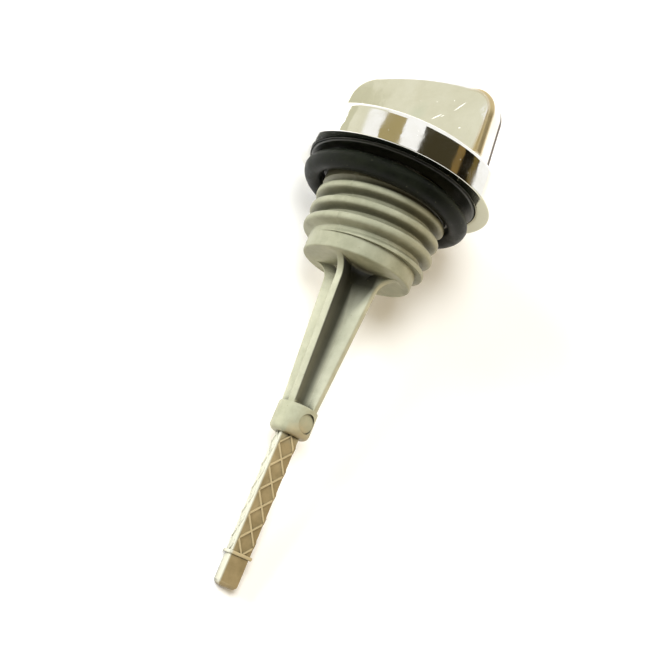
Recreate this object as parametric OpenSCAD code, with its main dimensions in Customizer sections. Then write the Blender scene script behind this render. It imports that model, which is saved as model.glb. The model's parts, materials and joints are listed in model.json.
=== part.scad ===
// Screw-in oil filler cap with its dipstick, lying on the rim of the cap and the tip of the blade.
// Each piece is drawn on the screw axis: height 0 is the cap's open rim and the tip is upwards.
// The side of the axis that lies lowest is +X there. lay() then puts the whole part down.

/* [Cover] */
// Radius of the plated cover at its open rim
cover_r = 15.2; // [14.6:0.1:18]
// Height of the skirt, from the rim to the edge of the roof
cover_h = 5.1; // [4.6:0.1:8]
// How much narrower the skirt is at the roof, on the radius
cover_draft = 0.12; // [0:0.02:0.3]
// Thickness of the skirt, which is the width of its flat polished rim
cover_wall = 2.1; // [1.6:0.1:2.6]
// Thickness of the roof
roof_t = 1.5; // [1:0.1:2]
// Rise of the roof at its middle
roof_crown = 0.6; // [0.2:0.1:1.2]
// Radius of the shoulder between skirt and roof
shoulder_r = 1.0; // [0.6:0.1:1.4]
// Radius of the rim's outer edge
rim_round = 0.25; // [0.15:0.05:0.5]

/* [Wing grip] */
// Length of the grip across the cap, at its foot
wing_l = 26.2; // [20:0.2:27]
// How much the grip's ends lean in, each
wing_lean = 0.6; // [0:0.1:1]
// Thickness of the grip at its foot
wing_t = 5.2; // [4.4:0.1:7]
// How much the grip thins towards its top, on each side
wing_draft = 0.3; // [0.1:0.1:0.6]
// Height of the grip's top over the rim
wing_top = 17.6; // [14:0.2:20]
// Rise of the top edge between its corners
wing_crown = 0.7; // [0.2:0.1:1.5]
// Radius of the grip's two top corners
wing_corner_r = 4.4; // [2:0.2:5]
// Radius along the edges of the grip's top
wing_edge_r = 0.9; // [0.3:0.1:1.2]
// Radius of the fillet along the grip's foot
wing_foot_r = 1.2; // [0.6:0.1:2]
// Radius of the fillet at the foot of the grip's two ends
wing_end_foot_r = 0.6; // [0.4:0.1:0.8]
// Thickness of the hollow grip's wall
wing_wall = 1.5; // [1.2:0.1:1.8]
// Turn of the grip round the screw axis, from the lowest side
wing_turn = 135; // [90:5:180]

/* [Base plate] */
// How far the plate stands out past the rim
seat_out = 0.2; // [0:0.1:0.6]
// Radius of the plate's lower edge
seat_round = 0.25; // [0.1:0.05:0.4]

/* [Sealing ring] */
// Diameter of the ring's round section
ring_d = 3; // [2.6:0.1:3.5]
// How much larger the ring's hole is than the neck, on the radius
ring_play = 0.4; // [0.2:0.05:0.6]
// How far the ring has slid down the neck from its seat
ring_slid = 0.85; // [0.5:0.05:1]
// Turn round the screw axis, from the lowest side, to where the ring hangs furthest out
ring_hang = 0; // [0:5:360]
// How much the loose ring sits askew
ring_tilt = 1.8; // [0:0.2:2.4]

/* [Screw] */
// Radius of the plain neck that the ring sits on
neck_r = 9.6; // [9:0.05:9.7]
// Length of the neck, from the seat to the thread
neck_l = 3.6; // [3.2:0.1:6]
// Radius over the crests of the thread, M20
crest_r = 9.85; // [9.75:0.05:10]
// Radius of the core that the thread stands on, and of the plain pilot end
core_r = 8.35; // [8.2:0.05:8.5]
// Pitch of the thread
pitch = 2.5; // [2:0.25:3]
// Turns of thread, with its run-out
thread_turns = 3.5; // [2.5:0.25:5]
// Length of the plain pilot past the thread
pilot_l = 1.74; // [1.2:0.02:4]
// Radius of the pilot's end edge
pilot_round = 0.65; // [0.3:0.05:1]

/* [Stem] */
// Length of the four-ribbed stem, from the pilot to the collar
stem_l = 21.6; // [15:0.5:40]
// Thickness of each rib
rib_t = 1.2; // [1:0.1:1.6]
// Reach of the ribs from the axis, just past the flare
rib_top_r = 4.25; // [3.6:0.05:5]
// Reach of the ribs from the axis at the collar
rib_low_r = 2.75; // [2.2:0.05:2.9]
// Radius of the flare where each rib meets the pilot
flare_r = 2.8; // [1.5:0.1:3]
// Radius of the fillets in the four valleys
valley_r = 1.1; // [0.6:0.1:1.4]
// Radius of the trumpet where the valleys meet the pilot
trumpet_r = 1.4; // [0.8:0.1:2]

/* [Collar] */
// Radius of the collar between stem and blade
collar_r = 2.95; // [2.6:0.05:3.6]
// Length of the collar
collar_l = 4.4; // [3:0.1:6]
// Radius of the collar's edge next to the blade
collar_round = 0.9; // [0.4:0.1:1.2]
// Radius of the collar's edge next to the stem
collar_top_round = 0.4; // [0.2:0.1:0.6]
// Radius of the flat round ejector mark on the collar
mark_r = 1.4; // [1:0.1:1.6]
// How deep the mark is cut at its middle
mark_depth = 0.2; // [0.1:0.05:0.3]

/* [Blade] */
// Side of the square blade
blade_w = 2.85; // [2.4:0.05:3.6]
// Length of the hatched stretch, from the collar to the level flange
hatch_l = 17.6; // [12:0.5:30]
// Length of the plain tip past the flange
tip_l = 4.5; // [3:0.1:8]
// Radius of the edges at the blade's end
tip_round = 0.7; // [0.2:0.05:0.9]
// Thickness of the level flange
flange_t = 0.5; // [0.3:0.05:0.8]
// How far the flange stands out from the blade
flange_out = 0.32; // [0.15:0.01:0.5]
// Distance along the blade from one diamond to the next
hatch_pitch = 3.54; // [2.5:0.02:5]
// Width of the raised hatching ridges
ridge_w = 0.3; // [0.2:0.02:0.5]
// Height of the raised hatching ridges
ridge_h = 0.15; // [0.08:0.01:0.25]
// Angle between the blade and the ridges that run one way
ridge_a = 32; // [25:1:45]
// Angle between the blade and the ridges that run the other way
ridge_b = 40; // [25:1:45]
// Plain margin along one edge of each hatched face
hatch_margin = 0.3; // [0.1:0.05:0.5]

/* [Fits] */
// Radial gap where a round piece sits in or on another
slip = 0.05; // [0.03:0.01:0.1]
// Gap round the key inside the hollow grip
key_gap = 0.15; // [0.1:0.05:0.3]

/* [Hidden] */
$fn = 64;

// Steps of 15 degrees in rounded corners that are written as points
arc_step = 15;
// Sinking of a shape into the one that it grows from
sink = 0.3;

// Inside of the cover
bore_r = cover_r - cover_draft - cover_wall;
roof_under = -(cover_h - roof_t);
slot_t = wing_t - 2 * wing_draft - 2 * wing_wall;
slot_l = min(2 * neck_r, wing_l - 2 * wing_lean - 2 * wing_wall);
slot_top = wing_top - wing_crown - wing_wall;
slot_corner_r = max(wing_corner_r - wing_wall, 0.5);

// Heights along the screw axis
ring_z = seat_out + ring_slid + ring_d / 2;
neck_end = seat_out + neck_l;
thread_start = neck_end + 3 / 48 * pitch;
thread_end = neck_end + ceil((thread_turns + 0.1) * 48) / 48 * pitch;
pilot_end = thread_end + pilot_l;
collar_z = pilot_end + stem_l;
blade_z = collar_z + collar_l;
flange_z = blade_z + hatch_l;
tip_z = flange_z + flange_t + tip_l;

// The thread is a lattice whose rows climb with the helix, in steps of a turn
thread_turn = 65;
thread_steps = 48;
fade_in = 40;
fade_out = 215;
root_r = core_r - 0.1;
// Rows of one turn: how far each lies from the crest's middle, in steps, and its height from 0 to 1
thread_rows = [[-19, 0], [-10, 0.84], [-6, 1], [6, 1], [10, 0.84], [19, 0]];

// Lean of the part as it lies on the rim and on the end of the blade
lie_a = cover_r - rim_round - blade_w / 2 + tip_round;
lie_b = tip_z + rim_round - tip_round;
lie_angle = acos((tip_round - rim_round) / sqrt(lie_a ^ 2 + lie_b ^ 2)) - atan2(lie_b, lie_a);
lift = (cover_r - rim_round) * cos(lie_angle) - rim_round * sin(lie_angle) + rim_round;
// How far the part reaches each way along the floor, for the origin under its middle
reach_tip = (tip_z - tip_round) * cos(lie_angle) + (blade_w / 2 - tip_round) * sin(lie_angle) + tip_round;
wing_side = wing_t / 2 - wing_draft;
reach_wing = max([for (p = wing_outline(wing_l / 2, wing_top, wing_corner_r))
    p[1] * cos(lie_angle)
    + abs(p[0] * cos(wing_turn)) * sin(lie_angle)
    + (wing_side - wing_edge_r) * abs(sin(wing_turn)) * sin(lie_angle)]);

function arc(cx, cy, r, from, to) =
    [for (i = [0 : ceil(abs(to - from) / arc_step)])
        let (a = from + (to - from) * i / ceil(abs(to - from) / arc_step))
            [cx + r * cos(a), cy + r * sin(a)]];

// Outline of the grip seen from its flat side: across the cap and up from the rim
function wing_outline(half, top, corner) =
    let (x = half - wing_lean - corner, y = top - wing_crown - corner)
        concat(
            arc(x, y, corner, 0, 75),
            [for (i = [-4 : 4]) let (s = -i / 4) [s * x, top - wing_crown * s ^ 2]],
            arc(-x, y, corner, 105, 180));

module lay() {
    translate([(reach_wing - reach_tip) / 2, 0, lift])
        rotate([0, 90 + lie_angle, 0])
            children();
}

// Turns a profile of radius and height into a round piece
module turned(points) {
    rotate_extrude() polygon(points);
}

module cover_skin() {
    top_r = cover_r - cover_draft;
    turned(concat(
        [[0, 0], [cover_r - 2 * rim_round, 0]],
        arc(cover_r - rim_round, -rim_round, rim_round, 90, 0),
        arc(top_r - shoulder_r, -(cover_h - shoulder_r), shoulder_r, 0, -90),
        [[top_r * 0.6, -(cover_h + roof_crown * 0.64)], [0, -(cover_h + roof_crown)]]));
}

// The grip is what its two side views share, each with a fillet at the foot
module wing_skin() {
    foot = cover_h;
    half = wing_l / 2;
    side = wing_t / 2;
    flat_view = concat(
        [[half + wing_end_foot_r, foot - sink]],
        arc(half + wing_end_foot_r, foot + wing_end_foot_r, wing_end_foot_r, 270, 180),
        wing_outline(half, wing_top, wing_corner_r),
        arc(-half - wing_end_foot_r, foot + wing_end_foot_r, wing_end_foot_r, 0, -90),
        [[-half - wing_end_foot_r, foot - sink]]);
    end_view = concat(
        [[side + wing_foot_r, foot - sink]],
        arc(side + wing_foot_r, foot + wing_foot_r, wing_foot_r, 270, 180),
        arc(wing_side - wing_edge_r, wing_top - wing_edge_r, wing_edge_r, 0, 90),
        arc(-wing_side + wing_edge_r, wing_top - wing_edge_r, wing_edge_r, 90, 180),
        arc(-side - wing_foot_r, foot + wing_foot_r, wing_foot_r, 0, -90),
        [[-side - wing_foot_r, foot - sink]]);
    mirror([0, 0, 1]) intersection() {
        rotate([90, 0, 0]) linear_extrude(3 * wing_t, center = true) polygon(flat_view);
        rotate([90, 0, 90]) linear_extrude(2 * wing_l, center = true) polygon(end_view);
        cylinder(r = cover_r - cover_draft - shoulder_r / 2, h = wing_top + 1);
    }
}

// The hollow of the grip, or with a gap taken off all round, the key that fills it
module wing_core(gap, foot) {
    half = slot_l / 2 - gap;
    top = slot_top - gap;
    corner = slot_corner_r - gap;
    mirror([0, 0, 1]) rotate([90, 0, 0])
        linear_extrude(slot_t - 2 * gap, center = true)
            polygon(concat(
                [[half, foot]],
                arc(half - corner, top - corner, corner, 0, 90),
                arc(-half + corner, top - corner, corner, 90, 180),
                [[-half, foot]]));
}

module chrome_cover() {
    color("#d8d9d6") lay() difference() {
        union() {
            cover_skin();
            rotate([0, 0, wing_turn]) wing_skin();
        }
        translate([0, 0, roof_under]) cylinder(r = bore_r, h = cover_h);
        rotate([0, 0, wing_turn]) wing_core(0, -roof_under - sink);
    }
}

module base_plate() {
    plate_r = bore_r - slip;
    color("#1d1f1e") lay() difference() {
        turned(concat(
            [[0, roof_under], [plate_r, roof_under]],
            arc(plate_r - seat_round, seat_out - seat_round, seat_round, 0, 90),
            [[0, seat_out]]));
        translate([0, 0, roof_under - 1]) cylinder(r = neck_r + slip, h = cover_h + 2);
    }
}

// The ring hangs loose on the neck, against it on one side and a little askew
module sealing_ring() {
    hang = ring_play - slip;
    color("#2c302b") lay() translate([hang * cos(ring_hang), hang * sin(ring_hang), ring_z])
        rotate(a = ring_tilt, v = [cos(15), sin(15), 0])
            rotate_extrude() translate([neck_r + ring_play + ring_d / 2, 0]) circle(d = ring_d);
}

// Radius of the screw at a turn round the axis and a height, on a row of the thread
function screw_r(turn, z, height) =
    let (k = max(0, min(1, 0.15 + turn / fade_in, 0.15 + (360 * thread_turns - turn) / fade_out)))
        max(root_r + (crest_r - root_r) * height * k, min(neck_r - 0.1, neck_r - 0.1 - z + neck_end));

// Core and thread in one, from the end of the neck to the pilot
module screw() {
    rows = len(thread_rows);
    last = rows * ceil(thread_turns + 4);
    step = pitch / thread_steps;
    ring = last + 1;
    points = concat(
        [for (i = [0 : thread_steps], j = [0 : last])
            let (
                row = thread_rows[j % rows],
                way = i + thread_steps * (floor(j / rows) - 2),
                z = thread_start + step * (way + row[0]),
                at = min(thread_end, max(neck_end, z)),
                out = z > neck_end && z < thread_end ? row[1] : 0,
                r = screw_r(way * 360 / thread_steps, at, out),
                a = thread_turn + i * 360 / thread_steps)
                [r * cos(a), r * sin(a), at]],
        [[0, 0, neck_end], [0, 0, thread_end]]);
    hub = (thread_steps + 1) * ring;
    faces = concat(
        [for (i = [0 : thread_steps - 1], j = [0 : last - 1])
            [i * ring + j, i * ring + j + 1, (i + 1) * ring + j]],
        [for (i = [0 : thread_steps - 1], j = [0 : last - 1])
            [i * ring + j + 1, (i + 1) * ring + j + 1, (i + 1) * ring + j]],
        [for (i = [0 : thread_steps - 1]) [hub, i * ring, (i + 1) * ring]],
        [for (i = [0 : thread_steps - 1]) [hub + 1, (i + 1) * ring + last, i * ring + last]]);
    polyhedron(points, faces);
}

// Plain neck above the thread, up to its seat under the roof
module neck() {
    translate([0, 0, roof_under]) cylinder(r = neck_r, h = neck_end - roof_under);
}

// Plain pilot below the thread
module pilot() {
    turned(concat(
        [[0, thread_end], [core_r, thread_end]],
        arc(core_r - pilot_round, pilot_end - pilot_round, pilot_round, 0, 90),
        [[0, pilot_end]]));
}

// A pair of opposite ribs, flared into the pilot and tapering to the collar
module rib_pair() {
    side = concat(
        [[rib_top_r + flare_r, pilot_end - sink]],
        arc(rib_top_r + flare_r, pilot_end + flare_r, flare_r, 270, 180),
        [[rib_low_r, collar_z + sink]]);
    rotate([90, 0, 0]) linear_extrude(rib_t, center = true)
        polygon(concat(side, [for (i = [len(side) - 1 : -1 : 0]) [-side[i][0], side[i][1]]]));
}

module stem() {
    reach = rib_t / 2 + valley_r;
    for (a = [45, 135]) rotate([0, 0, a]) rib_pair();
    rotate([0, 0, 45]) translate([0, 0, pilot_end - sink])
        linear_extrude(stem_l + 2 * sink) difference() {
            square(2 * reach, center = true);
            for (x = [-1, 1], y = [-1, 1]) translate([x * reach, y * reach]) circle(r = valley_r);
        }
    turned(concat(
        [[0, pilot_end - sink], [rib_t + trumpet_r, pilot_end - sink]],
        arc(rib_t + trumpet_r, pilot_end + trumpet_r, trumpet_r, 270, 180),
        [[0, pilot_end + trumpet_r]]));
}

module collar() {
    mark_at = collar_r - mark_depth;
    union() {
        difference() {
            turned(concat(
                [[0, collar_z]],
                arc(collar_r - collar_top_round, collar_z + collar_top_round, collar_top_round, -90, 0),
                arc(collar_r - collar_round, blade_z - collar_round, collar_round, 0, 90),
                [[0, blade_z]]));
            mark(mark_at, collar_r);
        }
        mark(0, mark_at);
    }
}

// A round peg out of the collar's side, from one distance off the axis to another
module mark(from, to) {
    translate([0, 0, collar_z + collar_l / 2]) rotate([0, 90, 135])
        translate([0, 0, from]) cylinder(r = mark_r, h = to - from);
}

// The square bar, with its end rounded both ways
module blade_bar() {
    side = concat(
        [[-blade_w / 2, blade_z - sink], [blade_w / 2, blade_z - sink]],
        arc(blade_w / 2 - tip_round, tip_z - tip_round, tip_round, 0, 90),
        arc(-blade_w / 2 + tip_round, tip_z - tip_round, tip_round, 90, 180));
    intersection() {
        rotate([90, 0, 0]) linear_extrude(blade_w, center = true) polygon(side);
        rotate([90, 0, 90]) linear_extrude(blade_w, center = true) polygon(side);
    }
}

// Raised diamonds on one face of the blade, which meet in points along its plain margin
module hatched_face() {
    edge = blade_w / 2;
    line_l = 4 * blade_w;
    count = ceil(hatch_l / hatch_pitch) + 1;
    translate([blade_w / 2 - sink, 0, 0]) rotate([90, 0, 90]) linear_extrude(ridge_h + sink)
        intersection() {
            translate([-edge, blade_z - sink]) square([blade_w - hatch_margin, hatch_l + 2 * sink]);
            union() for (i = [-2 : count]) translate([edge - hatch_margin, blade_z + hatch_pitch * (i + 0.45)]) {
                rotate(ridge_a) square([ridge_w, 2 * line_l], center = true);
                rotate(-ridge_b) square([ridge_w, 2 * line_l], center = true);
            }
        }
}

module blade() {
    blade_bar();
    for (a = [0, 90, 180, 270]) rotate([0, 0, a]) hatched_face();
    translate([0, 0, flange_z]) linear_extrude(flange_t)
        square(blade_w + 2 * flange_out, center = true);
}

module dipstick_body() {
    color("#a9a792") lay() {
        neck();
        screw();
        pilot();
        stem();
        collar();
        blade();
        rotate([0, 0, wing_turn]) wing_core(key_gap, -roof_under - sink);
    }
}

chrome_cover();
base_plate();
sealing_ring();
dipstick_body();
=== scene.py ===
import json
import math

import bmesh
import bpy
from mathutils import Matrix, Vector


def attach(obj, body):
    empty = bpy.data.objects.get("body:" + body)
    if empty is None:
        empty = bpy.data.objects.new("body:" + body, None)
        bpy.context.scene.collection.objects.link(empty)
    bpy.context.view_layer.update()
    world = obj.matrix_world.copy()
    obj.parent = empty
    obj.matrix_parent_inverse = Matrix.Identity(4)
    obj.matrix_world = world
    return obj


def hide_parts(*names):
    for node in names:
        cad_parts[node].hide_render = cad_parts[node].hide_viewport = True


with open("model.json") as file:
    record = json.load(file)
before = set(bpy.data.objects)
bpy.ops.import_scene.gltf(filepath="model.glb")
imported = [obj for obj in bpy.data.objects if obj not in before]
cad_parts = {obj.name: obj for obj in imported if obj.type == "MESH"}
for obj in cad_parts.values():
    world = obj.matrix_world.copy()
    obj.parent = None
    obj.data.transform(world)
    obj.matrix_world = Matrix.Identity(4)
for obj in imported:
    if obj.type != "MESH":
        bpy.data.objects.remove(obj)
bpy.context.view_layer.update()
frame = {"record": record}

# Screw and stick. One grey-green moulding of filled nylon, made in a two-part mould whose parting
# line crosses the threads. The stick hangs in the oil and its hatched blade is read, so its lower
# end is stained. It is drawn on the screw axis, tip up, from the cap's rim at height 0.
mm = 0.001
fine = 0.001 * mm
crest_r = 9.85
root_r = 8.27
core_r = 8.35
neck_r = 9.6
neck_end = 3.8
neck_chamfer = 0.1
pitch = 2.5
turns = 3.5
thread_start = neck_end + pitch / 16
first_turn = 65
run_in = 40
run_out = 215
plain_z = 12.2
pilot_end = 14.55
pilot_round = 0.28
collar_z = 36.15
collar_r = 2.95
blade_z = 40.55
blade_w = 2.85
flange_z = 58.15
tip_z = 63.15

# How the part lies comes from the frame: its thread mount gives the screw axis
mount = {m["name"]: m for m in frame["record"]["mounts"]}["thread"]
axis = Vector(mount["axis"])
lie = math.acos(axis.z)
thread_middle = neck_end + mount["dims"]["length_mm"] / 2
axis_start = Vector(mount["pos_m"]) - thread_middle * mm * axis


def start_piece(name):
    """Names the primitive just added and opens it in edit mode with nothing selected."""
    piece = bpy.context.object
    piece.name = name
    piece.data.name = name
    bpy.ops.object.mode_set(mode="EDIT")
    bpy.ops.mesh.select_all(action="DESELECT")
    return piece


def apply_modifier(piece, kind, **settings):
    bpy.ops.object.select_all(action="DESELECT")
    bpy.context.view_layer.objects.active = piece
    piece.select_set(True)
    modifier = piece.modifiers.new(kind.title(), kind)
    for name, value in settings.items():
        setattr(modifier, name, value)
    bpy.ops.object.modifier_apply(modifier=modifier.name)


def between(points, x):
    """The value at x of a line through points of place and value."""
    for (x0, y0), (x1, y1) in zip(points, points[1:]):
        if x <= x1:
            return y0 + (y1 - y0) * max(0, (x - x0) / (x1 - x0))
    return points[-1][1]


def thread_height(offset):
    """Height of the thread's blunt section, 0 to 1, at an offset from the crest's middle along the axis."""
    section = ((0, 1.0), (0.26, 0.985), (0.4, 0.94), (0.52, 0.84), (0.74, 0.45), (0.9, 0.14), (1.02, 0.02),
               (1.25, 0))
    return between(section, abs(offset))


def screw_radius(height, around):
    """Radius of the screw at a height and at a turn round the axis past the thread's start."""
    crest = thread_start + pitch * around / 360
    lap = round((height - crest) / pitch)
    turned_by = around + 360 * lap
    growth = max(0, min(1, 0.15 + turned_by / run_in, 0.12 + (360 * turns - turned_by) / run_out))
    thread = root_r + (crest_r - root_r) * thread_height(height - crest - lap * pitch) * growth
    flash = flash_out if min(abs(around - seam) for seam in parting) < flash_half else 0
    # Before the plain pilot the root swells to just under it, so that no groove is left between them
    root = root_r + (core_r - shelf - root_r) * max(0, min(1, (height - plain_z + 0.6) / 0.4))
    return max(thread, root, neck_r - neck_chamfer - (height - neck_end)) + flash


# The thread's skin: one pitch of its section, wound up by the screw modifier from two turns before
# the thread's start. The mould's parting line leaves a fine flash at two angles round the axis.
section_steps = 24
winding = 7
turns_before = 2
steps_a_turn = 240
parting = (163, 343)
flash_out = 0.1
flash_half = 0.76
shelf = 0.03
bpy.ops.object.select_all(action="DESELECT")
bpy.ops.mesh.primitive_grid_add(x_subdivisions=section_steps, y_subdivisions=1, size=1)
screw = start_piece("dipstick_screw")
mesh = bmesh.from_edit_mesh(screw.data)
bmesh.ops.delete(mesh, geom=[v for v in mesh.verts if v.co.y > 0], context="VERTS")
start_angle = math.radians(first_turn)
for i, vertex in enumerate(sorted(mesh.verts, key=lambda v: v.co.x)):
    vertex.co = Vector((
        root_r * math.cos(start_angle), root_r * math.sin(start_angle),
        thread_start + pitch * (i / section_steps - 0.5 - turns_before))) * mm
bmesh.update_edit_mesh(screw.data)
bpy.ops.object.mode_set(mode="OBJECT")
apply_modifier(screw, "SCREW", axis="Z", angle=2 * math.pi, screw_offset=pitch * mm, iterations=winding,
               steps=steps_a_turn, render_steps=steps_a_turn, use_merge_vertices=False)
bpy.ops.object.mode_set(mode="EDIT")
mesh = bmesh.from_edit_mesh(screw.data)
for vertex in mesh.verts:
    # A row that nearly meets a cut is moved onto it, so that the cut leaves no slivers
    for cut_z in (neck_end, plain_z):
        if abs(vertex.co.z / mm - cut_z) < pitch / section_steps / 2:
            vertex.co.z = cut_z * mm
    around = (math.degrees(math.atan2(vertex.co.y, vertex.co.x)) - first_turn) % 360
    scale = screw_radius(vertex.co.z / mm, around) * mm / math.hypot(vertex.co.x, vertex.co.y)
    vertex.co.x *= scale
    vertex.co.y *= scale
bmesh.update_edit_mesh(screw.data)
bpy.ops.mesh.select_all(action="SELECT")
bpy.ops.mesh.remove_doubles(threshold=2 * fine)
for cut_z, above in ((neck_end, False), (plain_z, True)):
    bpy.ops.mesh.select_all(action="SELECT")
    bpy.ops.mesh.bisect(plane_co=(0, 0, cut_z * mm), plane_no=(0, 0, 1), threshold=fine,
                        clear_inner=not above, clear_outer=above)


def pick(piece, test, kind="FACE"):
    """Selects the faces, edges or vertices whose middle passes the test, and nothing else."""
    mesh = bmesh.from_edit_mesh(piece.data)
    for part in (*mesh.faces, *mesh.edges, *mesh.verts):
        part.select = False
    mesh.select_mode = {kind}
    bpy.context.tool_settings.mesh_select_mode = (kind == "VERT", kind == "EDGE", kind == "FACE")
    if kind == "FACE":
        found = [f for f in mesh.faces if test(f.calc_center_median(), f)]
    elif kind == "EDGE":
        found = [e for e in mesh.edges if test((e.verts[0].co + e.verts[1].co) / 2, e)]
    else:
        found = [v for v in mesh.verts if test(v.co, v)]
    for part in found:
        part.select_set(True)
    mesh.select_flush_mode()
    bmesh.update_edit_mesh(piece.data)


def draw_on(piece, height, rings):
    """Draws the open round edge at a height on through further radii and heights, and closes it."""
    pick(piece, lambda c, e: e.is_boundary and abs(c.z - height * mm) < fine, "EDGE")
    for radius, next_height in rings:
        bpy.ops.mesh.extrude_region_move(
            TRANSFORM_OT_translate={"value": (0, 0, (next_height - height) * mm)})
        mesh = bmesh.from_edit_mesh(piece.data)
        for vertex in mesh.verts:
            if vertex.select:
                scale = radius * mm / math.hypot(vertex.co.x, vertex.co.y)
                vertex.co.x *= scale
                vertex.co.y *= scale
        bmesh.update_edit_mesh(piece.data)
        height = next_height
    bpy.ops.mesh.edge_face_add()


def rounded(cx, cy, radius, start, end, steps=6):
    """Points on an arc about (cx, cy), from one angle to another in degrees."""
    angles = [math.radians(start + (end - start) * i / steps) for i in range(steps + 1)]
    return [(cx + radius * math.cos(a), cy + radius * math.sin(a)) for a in angles]


# Neck under the ring, and plain pilot past the thread with its rounded end
draw_on(screw, neck_end, [(neck_r, neck_end - neck_chamfer), (neck_r, 2.4), (neck_r, 0.3),
                          (neck_r - 0.05, 0.25)])
draw_on(screw, plain_z, [(core_r, plain_z + shelf), (core_r, 13.2), (core_r, 14.0)]
        + rounded(core_r - pilot_round, pilot_end - pilot_round, pilot_round, 0, 90)
        + [(core_r - 0.5, pilot_end)])
bpy.ops.mesh.select_all(action="SELECT")
bpy.ops.mesh.normals_make_consistent(inside=False)
bpy.ops.object.mode_set(mode="OBJECT")


def fuse(piece, other):
    """Makes the other piece part of this one, as in one mould."""
    apply_modifier(piece, "BOOLEAN", operation="UNION", solver="EXACT", object=other)
    bpy.data.objects.remove(other)


# Stem of four ribs that taper to the collar and flare into the pilot. Each pair is one long plate,
# and the two plates end at slightly different heights, so that none of their faces lie in one plane.
rib_t = 1.2
rib_wide = 4.25
rib_narrow = 2.75
rib_edge = 0.22
flare_r = 2.8
rib_profile = rounded(rib_wide + flare_r, pilot_end + flare_r, flare_r, 270, 180, 10)
for number, turn_angle in enumerate((45, 135)):
    bpy.ops.object.select_all(action="DESELECT")
    bpy.ops.mesh.primitive_cube_add(size=1)
    rib = bpy.context.object
    root = 0.3 + 0.1 * number
    rib.scale = (2 * rib_profile[0][0] * mm, rib_t * mm, root * mm)
    rib.location = (0, 0, (pilot_end - root / 2) * mm)
    bpy.ops.object.transform_apply(location=True, rotation=True, scale=True)
    start_piece("rib")
    pick(rib, lambda c, f: f.normal.z > 0.9)
    here = (rib_profile[0][0], pilot_end)
    for there in rib_profile[1:] + [(rib_narrow, collar_z + 0.5 + 0.1 * number)]:
        bpy.ops.mesh.extrude_region_move(
            TRANSFORM_OT_translate={"value": (0, 0, (there[1] - here[1]) * mm)})
        bpy.ops.transform.resize(value=(there[0] / here[0], 1, 1))
        here = there
    pick(rib, lambda c, e: abs(e.verts[0].co.y - e.verts[1].co.y) < 1e-7 and abs(c.x) > 2 * mm
         and abs(e.verts[0].co.z - e.verts[1].co.z) > 1e-7, "EDGE")
    bpy.ops.mesh.bevel(offset=rib_edge * mm, segments=3, affect="EDGES", profile=0.5)
    bpy.ops.object.mode_set(mode="OBJECT")
    rib.rotation_euler = (0, 0, math.radians(turn_angle))
    bpy.ops.object.transform_apply(location=True, rotation=True, scale=True)
    fuse(screw, rib)


def outlined(name, points):
    """A flat face with these corners, as points of x, y and z in millimetres, opened in edit mode."""
    bpy.ops.object.select_all(action="DESELECT")
    bpy.ops.mesh.primitive_circle_add(vertices=len(points), radius=mm, fill_type="NGON")
    piece = start_piece(name)
    mesh = bmesh.from_edit_mesh(piece.data)
    mesh.faces.ensure_lookup_table()
    for vertex, point in zip([loop.vert for loop in mesh.faces[0].loops], points):
        vertex.co = Vector(point) * mm
    bmesh.update_edit_mesh(piece.data)
    bpy.ops.mesh.select_all(action="SELECT")
    return piece


# Core of the stem: a square with a round valley in each side, trumpeting into the pilot. The ends
# of each valley's arc run a little way into the ribs, so that core and ribs overlap.
valley_r = 1.6
valley_away = math.sqrt(2) * (rib_t / 2 + valley_r)
core_line = []
for quarter in range(4):
    turn = Matrix.Rotation(math.radians(90 * quarter), 2)
    valley = rounded(valley_away, 0, valley_r, 225, 135, 14)
    inside_rib = Vector((-0.03, 0.03))
    valley[0] = Vector(valley[0]) - inside_rib * Vector((-1, 1))
    valley[-1] = Vector(valley[-1]) + inside_rib
    core_line += [turn @ Vector(p) for p in valley]
spread, height = 1.75, pilot_end - 0.2
core = outlined("stem_core", [(spread * x, spread * y, height) for x, y in core_line])
for next_spread, next_height in ((1.5, pilot_end + 0.12), (1.28, pilot_end + 0.42), (1.12, pilot_end + 0.9),
                                 (1.03, pilot_end + 1.6), (1.0, pilot_end + 2.4), (0.92, collar_z + 0.3)):
    bpy.ops.mesh.extrude_region_move(
        TRANSFORM_OT_translate={"value": (0, 0, (next_height - height) * mm)})
    bpy.ops.transform.resize(value=(next_spread / spread, next_spread / spread, 1))
    spread, height = next_spread, next_height
bpy.ops.mesh.select_all(action="SELECT")
bpy.ops.mesh.normals_make_consistent(inside=False)
bpy.ops.object.mode_set(mode="OBJECT")
fuse(screw, core)


def turned(name, rings, sides):
    """A round piece on the axis: a filled circle, then one extrusion for each further radius and height."""
    bpy.ops.object.select_all(action="DESELECT")
    radius, height = rings[0]
    bpy.ops.mesh.primitive_circle_add(
        vertices=sides, radius=radius * mm, fill_type="NGON", location=(0, 0, height * mm))
    bpy.ops.object.transform_apply(location=True, rotation=True, scale=True)
    piece = start_piece(name)
    bpy.ops.mesh.select_all(action="SELECT")
    for next_radius, next_height in rings[1:]:
        bpy.ops.mesh.extrude_region_move(
            TRANSFORM_OT_translate={"value": (0, 0, (next_height - height) * mm)})
        bpy.ops.transform.resize(value=(next_radius / radius, next_radius / radius, 1))
        radius, height = next_radius, next_height
    bpy.ops.mesh.select_all(action="SELECT")
    bpy.ops.mesh.normals_make_consistent(inside=False)
    bpy.ops.object.mode_set(mode="OBJECT")
    return piece


def cut(piece, other):
    apply_modifier(piece, "BOOLEAN", operation="DIFFERENCE", solver="EXACT", object=other)
    bpy.data.objects.remove(other)


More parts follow.
